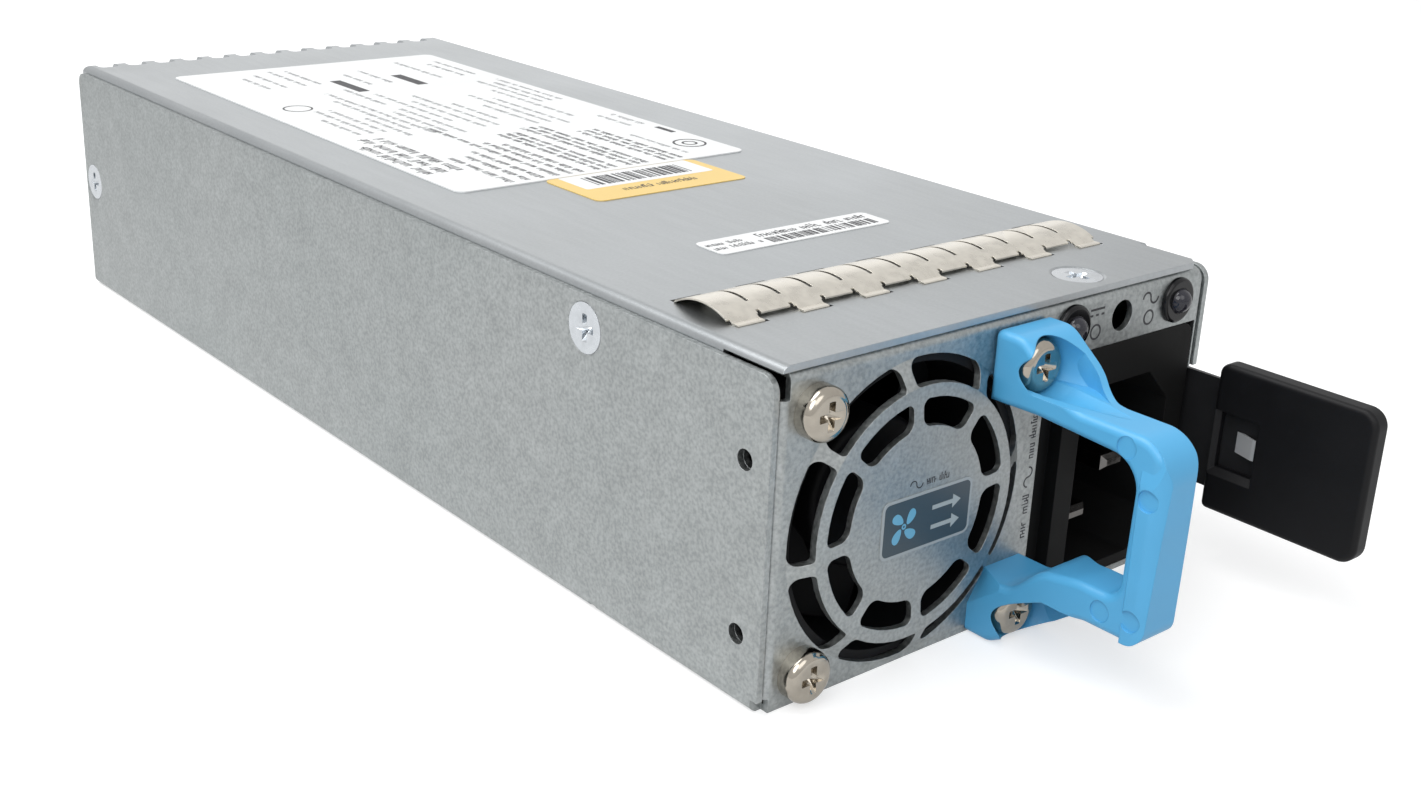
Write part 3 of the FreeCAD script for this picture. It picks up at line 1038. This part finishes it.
def latch_paddle():
    """Moulded finger paddle pushed over the leaf's tip, with a window for the leaf's tongue."""
    corner = PADDLE_CORNER
    side = [(PADDLE_NEAR, PADDLE_BOTTOM, 0.8), (PADDLE_FAR, PADDLE_BOTTOM, corner),
            (PADDLE_FAR, PADDLE_TOP, corner), (PADDLE_NEAR, PADDLE_TOP, 1.4)]
    body = rounded_face("YZ", PADDLE_LEFT, side).extrude(V(PADDLE_RIGHT - PADDLE_LEFT, 0, 0))
    rims = [e for e in body.Edges if e.BoundBox.XLength < 1e-6]
    body = body.makeFillet(PADDLE_EDGE, rims)
    slot = box(LATCH_FRONT_X - FIT, LATCH_FRONT_X + LATCH_SHEET + FIT, LEAF_TIP - 0.1, PADDLE_NEAR + 1,
               LATCH_BOTTOM - FIT, LATCH_TOP + FIT)
    near, far, bevel = WINDOW_NEAR, WINDOW_FAR, WINDOW_BEVEL
    middle = (LATCH_BOTTOM + LATCH_TOP) / 2
    low, high = middle - WINDOW_HEIGHT / 2, middle + WINDOW_HEIGHT / 2
    window = box(PADDLE_LEFT - 1, LATCH_FRONT_X, far, near, low, high)
    flare_wires = []
    for x, grow in ((PADDLE_LEFT - 0.01, bevel), (PADDLE_LEFT + bevel, 0)):
        y0, y1 = far - grow * 0.2, near + grow
        z0, z1 = low - grow, high + grow * 0.2
        flare_wires.append(Part.makePolygon([V(x, y0, z0), V(x, y1, z0), V(x, y1, z1), V(x, y0, z1),
                                             V(x, y0, z0)]))
    flare = Part.makeLoft(flare_wires, True, True)
    return body.cut([slot, window, flare]).removeSplitter()


# ------------------------------------------------------------------ indicators
def led_bezels():
    """Press-in holders with a rim in front of the panel."""
    bezels = []
    for x in LED_XS:
        rim = rod(BEZEL_RADIUS, (x, -BEZEL_RISE, LED_Z), (x, 0, LED_Z))
        front = [e for e in rim.Edges if abs(e.CenterOfMass.y + BEZEL_RISE) < 1e-6 and e.Closed]
        rim = rim.makeFillet(BEZEL_RISE * 0.6, front)
        body = rod(BEZEL_BODY_RADIUS, (x, 0, LED_Z), (x, BEZEL_LENGTH, LED_Z))
        bezels.append(joined([rim, body]).cut(rod(LENS_RADIUS + FIT, (x, -2, LED_Z), (x, 9, LED_Z))))
    return group(bezels)


def led_lenses():
    """Light emitting diodes with a domed tip."""
    lenses = []
    for x in LED_XS:
        barrel = rod(LENS_RADIUS, (x, -BEZEL_RISE, LED_Z), (x, BEZEL_LENGTH, LED_Z))
        dome = Part.makeSphere(LENS_RADIUS, V(x, -BEZEL_RISE + 0.3, LED_Z))
        rim = rod(LENS_RADIUS + 0.5, (x, BEZEL_LENGTH, LED_Z), (x, BEZEL_LENGTH + 0.8, LED_Z))
        lenses.append(joined([barrel, dome, rim]))
    return group(lenses)


def led_board():
    """Small card that carries the two indicators."""
    y = BEZEL_LENGTH + 0.8
    return box(LED_XS[0] - 3.2, LED_XS[1] + 3.2, y, y + 1.2, LED_Z - 2.6, LED_Z + 1.2)


# ------------------------------------------------------------------ board and its fixings
def main_board():
    """Circuit board whose rear tongue is the plug-in card edge."""
    half, tongue = BOARD_HALF_WIDTH, TONGUE_HALF_WIDTH
    rear = CASE_LENGTH - 3.0
    tip = CASE_LENGTH + TONGUE_LENGTH
    outline = [(-half, BOARD_FRONT, 1.5), (half, BOARD_FRONT, 1.5), (half, rear, 0.5), (tongue, rear, 0.5),
               (tongue, tip, 1.0), (-tongue, tip, 1.0), (-tongue, rear, 0.5), (-half, rear, 0.5)]
    board = rounded_face("XY", BOARD_BOTTOM, outline).extrude(V(0, 0, BOARD_THICKNESS))
    holes = [rod(SCREW_RADIUS + SCREW_HOLE_GAP, (x, y, 0), (x, y, BOARD_TOP + 1))
             for x, y in STANDOFF_PLACES]
    key = box(KEY_X, KEY_X + KEY_WIDTH, tip - KEY_DEPTH, tip + 1, 0, BOARD_TOP + 1)
    return board.cut(holes + [key])


def edge_contacts():
    """Gold plated contacts on both faces of the tongue."""
    contacts = []
    y1 = CASE_LENGTH + TONGUE_LENGTH - 0.8
    for i in range(CONTACT_COUNT):
        x = (i - (CONTACT_COUNT - 1) / 2) * CONTACT_PITCH
        if KEY_X - CONTACT_WIDTH < x < KEY_X + KEY_WIDTH + CONTACT_WIDTH:
            continue
        for z in (BOARD_TOP, BOARD_BOTTOM - CONTACT_THICKNESS):
            contacts.append(box(x - CONTACT_WIDTH / 2, x + CONTACT_WIDTH / 2, y1 - CONTACT_LENGTH, y1,
                                z, z + CONTACT_THICKNESS))
    return group(contacts)


def board_standoffs():
    posts = []
    for x, y in STANDOFF_PLACES:
        post = rod(STANDOFF_RADIUS, (x, y, SHEET), (x, y, BOARD_BOTTOM))
        posts.append(post.cut(rod(SCREW_RADIUS + FIT, (x, y, SHEET + 1), (x, y, BOARD_TOP))))
    return group(posts)


def board_screws():
    screws = []
    for x, y in STANDOFF_PLACES:
        screw = turned(pan_screw(0, 0, 0, 4.6), -90, (0, 0, 0), (1, 0, 0))
        screw.translate(V(x, y, BOARD_TOP))
        screws.append(screw)
    return group(screws)


def insulating_sheet():
    half = BOARD_HALF_WIDTH + 1
    sheet = box(-half, half, BOARD_FRONT, CASE_LENGTH - 2, SHEET, SHEET + INSULATION)
    return sheet.cut([rod(STANDOFF_RADIUS + 0.5, (x, y, 0), (x, y, 5)) for x, y in STANDOFF_PLACES])


# ------------------------------------------------------------------ components on the board
def on_board(x0, x1, y0, y1, height, radius=0.5):
    return rounded_box(x0, x1, y0, y1, BOARD_TOP, BOARD_TOP + height, radius)


def choke_cores():
    cores = []
    for y in CHOKE_YS:
        x, z = CHOKE_X, BOARD_TOP + CHOKE_FOOT
        core = rod(CHOKE_RADIUS, (x, y, z), (x, y, z + CHOKE_HEIGHT))
        cores.append(core.cut(rod(CHOKE_BORE, (x, y, z - 1), (x, y, z + CHOKE_HEIGHT + 1))))
    return group(cores)


def choke_windings():
    """Two windings of round wire on each core, standing on the board."""
    windings = []
    for y in CHOKE_YS:
        x, z, low = CHOKE_X, BOARD_TOP, BOARD_TOP + CHOKE_FOOT
        top, reach = z + CHOKE_HEIGHT + 2 * CHOKE_FOOT, CHOKE_RADIUS + WIRE_LAYER
        outer = rod(reach, (x, y, z), (x, y, top))
        outer = outer.cut(rod(CHOKE_BORE - WIRE_LAYER, (x, y, z - 1), (x, y, top + 1)))
        core = rod(CHOKE_RADIUS, (x, y, low), (x, y, low + CHOKE_HEIGHT))
        core = core.cut(rod(CHOKE_BORE, (x, y, z), (x, y, top)))
        split = box(x - reach - 1, x + reach + 1, y - CHOKE_SPLIT / 2, y + CHOKE_SPLIT / 2, z - 1, top + 1)
        coil = outer.cut([core, split])
        windings += coil.Solids
    return group(windings)


def x_capacitors():
    return group([on_board(X_CAPACITOR_LEFT, X_CAPACITOR_LEFT + X_CAPACITOR_WIDTH,
                           y, y + X_CAPACITOR_LENGTH, X_CAPACITOR_HEIGHT, 0.8) for y in X_CAPACITOR_YS])


def y_capacitors():
    y, z, legs = Y_CAPACITOR_Y, BOARD_TOP + Y_CAPACITOR_RISE, Y_CAPACITOR_RADIUS - 1.0
    middle = y + Y_CAPACITOR_THICKNESS / 2
    return group([rod(Y_CAPACITOR_RADIUS, (x, y, z), (x, y + Y_CAPACITOR_THICKNESS, z)).fuse(
        box(x - legs, x + legs, middle - 0.4, middle + 0.4, BOARD_TOP, BOARD_TOP + 3.0))
        for x in Y_CAPACITOR_XS])


def fuse():
    z = BOARD_TOP + 3.0
    x, end, half = FUSE_X, FUSE_Y + FUSE_LENGTH, FUSE_WIDTH / 2
    barrel = rod(FUSE_RADIUS, (x, FUSE_Y, z), (x, end, z))
    clips = [box(x - half, x + half, y, y + FUSE_CLIP, BOARD_TOP, z)
             for y in (FUSE_Y, end - FUSE_CLIP)]
    return joined([barrel] + clips)


def relay():
    return on_board(RELAY_LEFT, RELAY_LEFT + RELAY_WIDTH, RELAY_Y, RELAY_Y + RELAY_LENGTH, RELAY_HEIGHT)


def against_sink(y, width, thickness, low, high):
    """Upright package clamped to the primary heatsink, its legs down to the board."""
    x = SINK_X + SINK_PLATE
    body = rounded_box(x, x + thickness, y, y + width, BOARD_TOP + low, BOARD_TOP + high, 0.5, "X")
    legs = [box(x + 2.0, x + 2.6, y + width * k - 0.6, y + width * k + 0.6, BOARD_TOP, BOARD_TOP + low + 0.5)
            for k in (0.2, 0.5, 0.8)]
    return joined([body] + legs)


def bridge_rectifier():
    return against_sink(SINK_FRONT + 1.0, 14.5, 4.0, 3.5, 22.0)


def heatsink(x, y0, y1, side, fins):
    """Upright extruded plate with fins towards one side."""
    plate = box(x, x + SINK_PLATE, y0, y1, BOARD_TOP, SINK_TOP)
    pieces = [plate]
    for i in range(fins):
        z = BOARD_TOP + 4.0 + i * (SINK_TOP - BOARD_TOP - 4.0 - FIN_THICKNESS) / (fins - 1)
        x0, x1 = sorted((x + SINK_PLATE / 2, x + SINK_PLATE / 2 + side * FIN_REACH))
        pieces.append(box(x0, x1, y0, y1, z, z + FIN_THICKNESS))
    return joined(pieces)


def primary_heatsink():
    return heatsink(SINK_X, SINK_FRONT, SINK_BACK, -1, 5)


def power_transistors():
    """Switching transistors clamped to the primary heatsink behind the rectifier."""
    return group([against_sink(SINK_FRONT + y, 15.0, 5.0, 4.0, 24.0) for y in (16.5, 32.5)])


def pfc_choke_core():
    x, y = PFC_X, PFC_Y
    half, long_half = PFC_HALF_WIDTH, PFC_HALF_LENGTH
    core = on_board(x - half, x + half, y - long_half, y + long_half, PFC_HEIGHT, 1.0)
    reach = half - PFC_LEG
    windows = [box(x - reach, x + reach, y + s * 7 - 3, y + s * 7 + 3, BOARD_TOP - 1, CASE_HEIGHT)
               for s in (-1, 1)]
    return core.cut(windows)


def pfc_choke_winding():
    x, y = PFC_X, PFC_Y
    half, top = PFC_HALF_WIDTH - PFC_LEG - 0.2, BOARD_TOP + PFC_HEIGHT - 1.0
    outer = rounded_box(x - half, x + half, y - 9.8, y + 9.8, BOARD_TOP, top, 1.5)
    return outer.cut(box(x - half - 1, x + half + 1, y - 4.1, y + 4.1, BOARD_TOP - 1, top + 1))


def bulk_capacitor():
    """Large can lying along the case, with a rolled groove near one end."""
    z = BOARD_TOP + CAPACITOR_RADIUS
    end = CAPACITOR_Y + CAPACITOR_LENGTH
    can = rod(CAPACITOR_RADIUS, (CAPACITOR_X, CAPACITOR_Y, z), (CAPACITOR_X, end, z))
    groove = Part.makeTorus(CAPACITOR_RADIUS + 0.6, 1.2, V(CAPACITOR_X, CAPACITOR_Y + 4.0, z), V(0, 1, 0))
    return can.cut(groove)


def transformer_core():
    """Two E-shaped ferrite halves closed round the winding."""
    x, y = TRANSFORMER_X, TRANSFORMER_Y
    half, depth, top = TRANSFORMER_HALF_WIDTH, TRANSFORMER_HALF_DEPTH, BOARD_TOP + TRANSFORMER_HEIGHT
    core = rounded_box(x - half, x + half, y - depth, y + depth, BOARD_TOP + 1.0, top, 0.6, "Y")
    reach = half - OUTER_LEG
    windows = [box(x + near, x + far, y - depth - 1, y + depth + 1, BOARD_TOP + 5.5, top - 4.5)
               for near, far in ((-reach, -MIDDLE_LEG), (MIDDLE_LEG, reach))]
    return core.cut(windows)


def transformer_winding():
    """Winding and its bobbin round the core's middle leg, its feet on the board."""
    x, y = TRANSFORMER_X, TRANSFORMER_Y
    low, high = BOARD_TOP + 5.7, BOARD_TOP + TRANSFORMER_HEIGHT - 4.7
    reach, depth = TRANSFORMER_HALF_WIDTH - OUTER_LEG - WINDING_FIT, WINDING_HALF_DEPTH
    leg, core_depth = MIDDLE_LEG + WINDING_FIT, TRANSFORMER_HALF_DEPTH + WINDING_FIT
    coil = rounded_box(x - reach, x + reach, y - depth, y + depth, low, high, 3.0)
    coil = coil.cut(box(x - leg, x + leg, y - core_depth, y + core_depth, 0, high + 1))
    foot = reach - 0.8
    near, far = core_depth + 1.5, depth - 0.1
    feet = [box(x - foot, x + foot, y + start, y + end, BOARD_TOP, low + 1)
            for start, end in ((-far, -near), (near, far))]
    return coil.fuse(feet).removeSplitter()


def standby_transformer():
    return on_board(STANDBY_LEFT, STANDBY_LEFT + STANDBY_WIDTH,
                    STANDBY_Y, STANDBY_Y + STANDBY_LENGTH, STANDBY_HEIGHT, 1.0)


def output_heatsink():
    return heatsink(OUTPUT_SINK_X, OUTPUT_SINK_Y, OUTPUT_SINK_Y + OUTPUT_SINK_LENGTH, 1, 4)


def output_transistors():
    """Flat packages soldered to the board beside the output busbars."""
    return group([on_board(x, x + 5.0, OUTPUT_SWITCH_Y, OUTPUT_SWITCH_Y + 5.5, 1.2, 0.3)
                  for x in (-18.0, -10.0, -2.0, 6.0)])


def output_busbars():
    bar = box(BUSBAR_GAP, BUSBAR_GAP + BUSBAR_LENGTH, BUSBAR_Y, BUSBAR_Y + BUSBAR_THICKNESS,
              BOARD_TOP, BOARD_TOP + BUSBAR_HEIGHT)
    return group([bar, mirrored(bar)])


def output_capacitors():
    """Solid polymer cans in two rows."""
    cans = []
    for row in range(2):
        for i in range(4):
            x, y = OUTPUT_CANS_X + i * OUTPUT_CAN_PITCH, OUTPUT_CANS_Y + row * OUTPUT_CAN_PITCH
            cans.append(rod(OUTPUT_CAN_RADIUS, (x, y, BOARD_TOP), (x, y, BOARD_TOP + OUTPUT_CAN_HEIGHT)))
    return group(cans)


def control_board():
    """Upright daughter card along the right wall."""
    return box(CONTROL_X, CONTROL_X + CONTROL_CARD, CONTROL_FRONT, CONTROL_BACK, BOARD_TOP, CONTROL_TOP)


def control_chips():
    chips = []
    face = CONTROL_X + CONTROL_CARD
    for behind, size in CHIPS:
        y, half = CONTROL_FRONT + behind, size / 2
        chips.append(box(face, face + CHIP_HEIGHT, y - half, y + half, CHIP_Z - half, CHIP_Z + half))
    return group(chips)


def fan_connector():
    """Header on the board for the fan's lead."""
    return on_board(FAN_WIRE_X - FAN_WIRE_PITCH, FAN_WIRE_X + FAN_WIRE_COUNT * FAN_WIRE_PITCH,
                    FAN_HEADER_Y - 5.0, FAN_HEADER_Y + 5.0, FAN_HEADER_HEIGHT, 0.4)


def fan_wires():
    """The fan's leads, from the top of its frame to the header."""
    wires = []
    for i in range(FAN_WIRE_COUNT):
        x = FAN_WIRE_X + i * FAN_WIRE_PITCH
        path = [(x, FAN_BACK, FAN_WIRE_Z), (x, FAN_HEADER_Y, FAN_WIRE_Z),
                (x, FAN_HEADER_Y, BOARD_TOP + FAN_HEADER_HEIGHT)]
        wires.append(tube(FAN_WIRE_RADIUS, path, FAN_WIRE_BEND))
    return group(wires)


def inlet_wires():
    """Line and neutral leads from the inlet's tabs to the board."""
    wires = []
    for block in pin_blocks(0)[1:]:
        x, z = block.BoundBox.Center.x, block.BoundBox.Center.z
        start = block.BoundBox.YMax
        drop = start + 4.6 + (z - INLET_Z) / LINE_PIN_PITCH * 3.0
        path = [(x, start, z), (x, drop, z), (x, drop, BOARD_TOP)]
        wires.append(tube(INLET_WIRE_RADIUS, path, INLET_WIRE_BEND))
    return group(wires)


def earth_lug():
    """Bonding strap from the earth tab down to the base."""
    block = pin_blocks(0)[0]
    x, z, end = block.BoundBox.Center.x, block.BoundBox.Center.z, block.BoundBox.YMax
    left, right, back = x - LUG_WIDTH / 2, x + LUG_WIDTH / 2, end + LUG_SHEET
    upright = box(left, right, end, back, SHEET, z + 2.0)
    foot = box(left, right, INLET_BODY_DEPTH + FIT, back, SHEET, SHEET + LUG_SHEET)
    return joined([upright, foot])


# ------------------------------------------------------------------ export
NODES = [chassis, top_cover, case_screws, emi_finger_strip, pull_handle, handle_screws, fan_screws,
         fan_frame, fan_rotor, fan_shaft, fan_magnet, fan_bearings, fan_stator,
         inlet_housing, inlet_earth_pin, inlet_line_pins, latch_leaf, latch_leaf_root, latch_rivets,
         latch_paddle, led_bezels, led_lenses, led_board, main_board, edge_contacts, board_standoffs,
         board_screws, insulating_sheet, choke_cores, choke_windings, x_capacitors, y_capacitors, fuse,
         relay, bridge_rectifier, primary_heatsink, power_transistors, pfc_choke_core,
         pfc_choke_winding, bulk_capacitor, transformer_core, transformer_winding,
         standby_transformer, output_heatsink, output_transistors, output_busbars, output_capacitors,
         control_board, control_chips, fan_connector, fan_wires, inlet_wires, earth_lug]


def save(name, shape):
    """Write one piece, moved so that the origin is the middle of the base."""
    placed = shape.copy()
    placed.translate(V(0, -CASE_LENGTH / 2, 0))
    placed.exportStep(os.path.join("parts", name + ".step"))
    print(name, len(placed.Solids), "solids", round(placed.Volume, 1), "mm3", placed.isValid())


os.makedirs("parts", exist_ok=True)
for make in NODES:
    save(make.__name__, make())
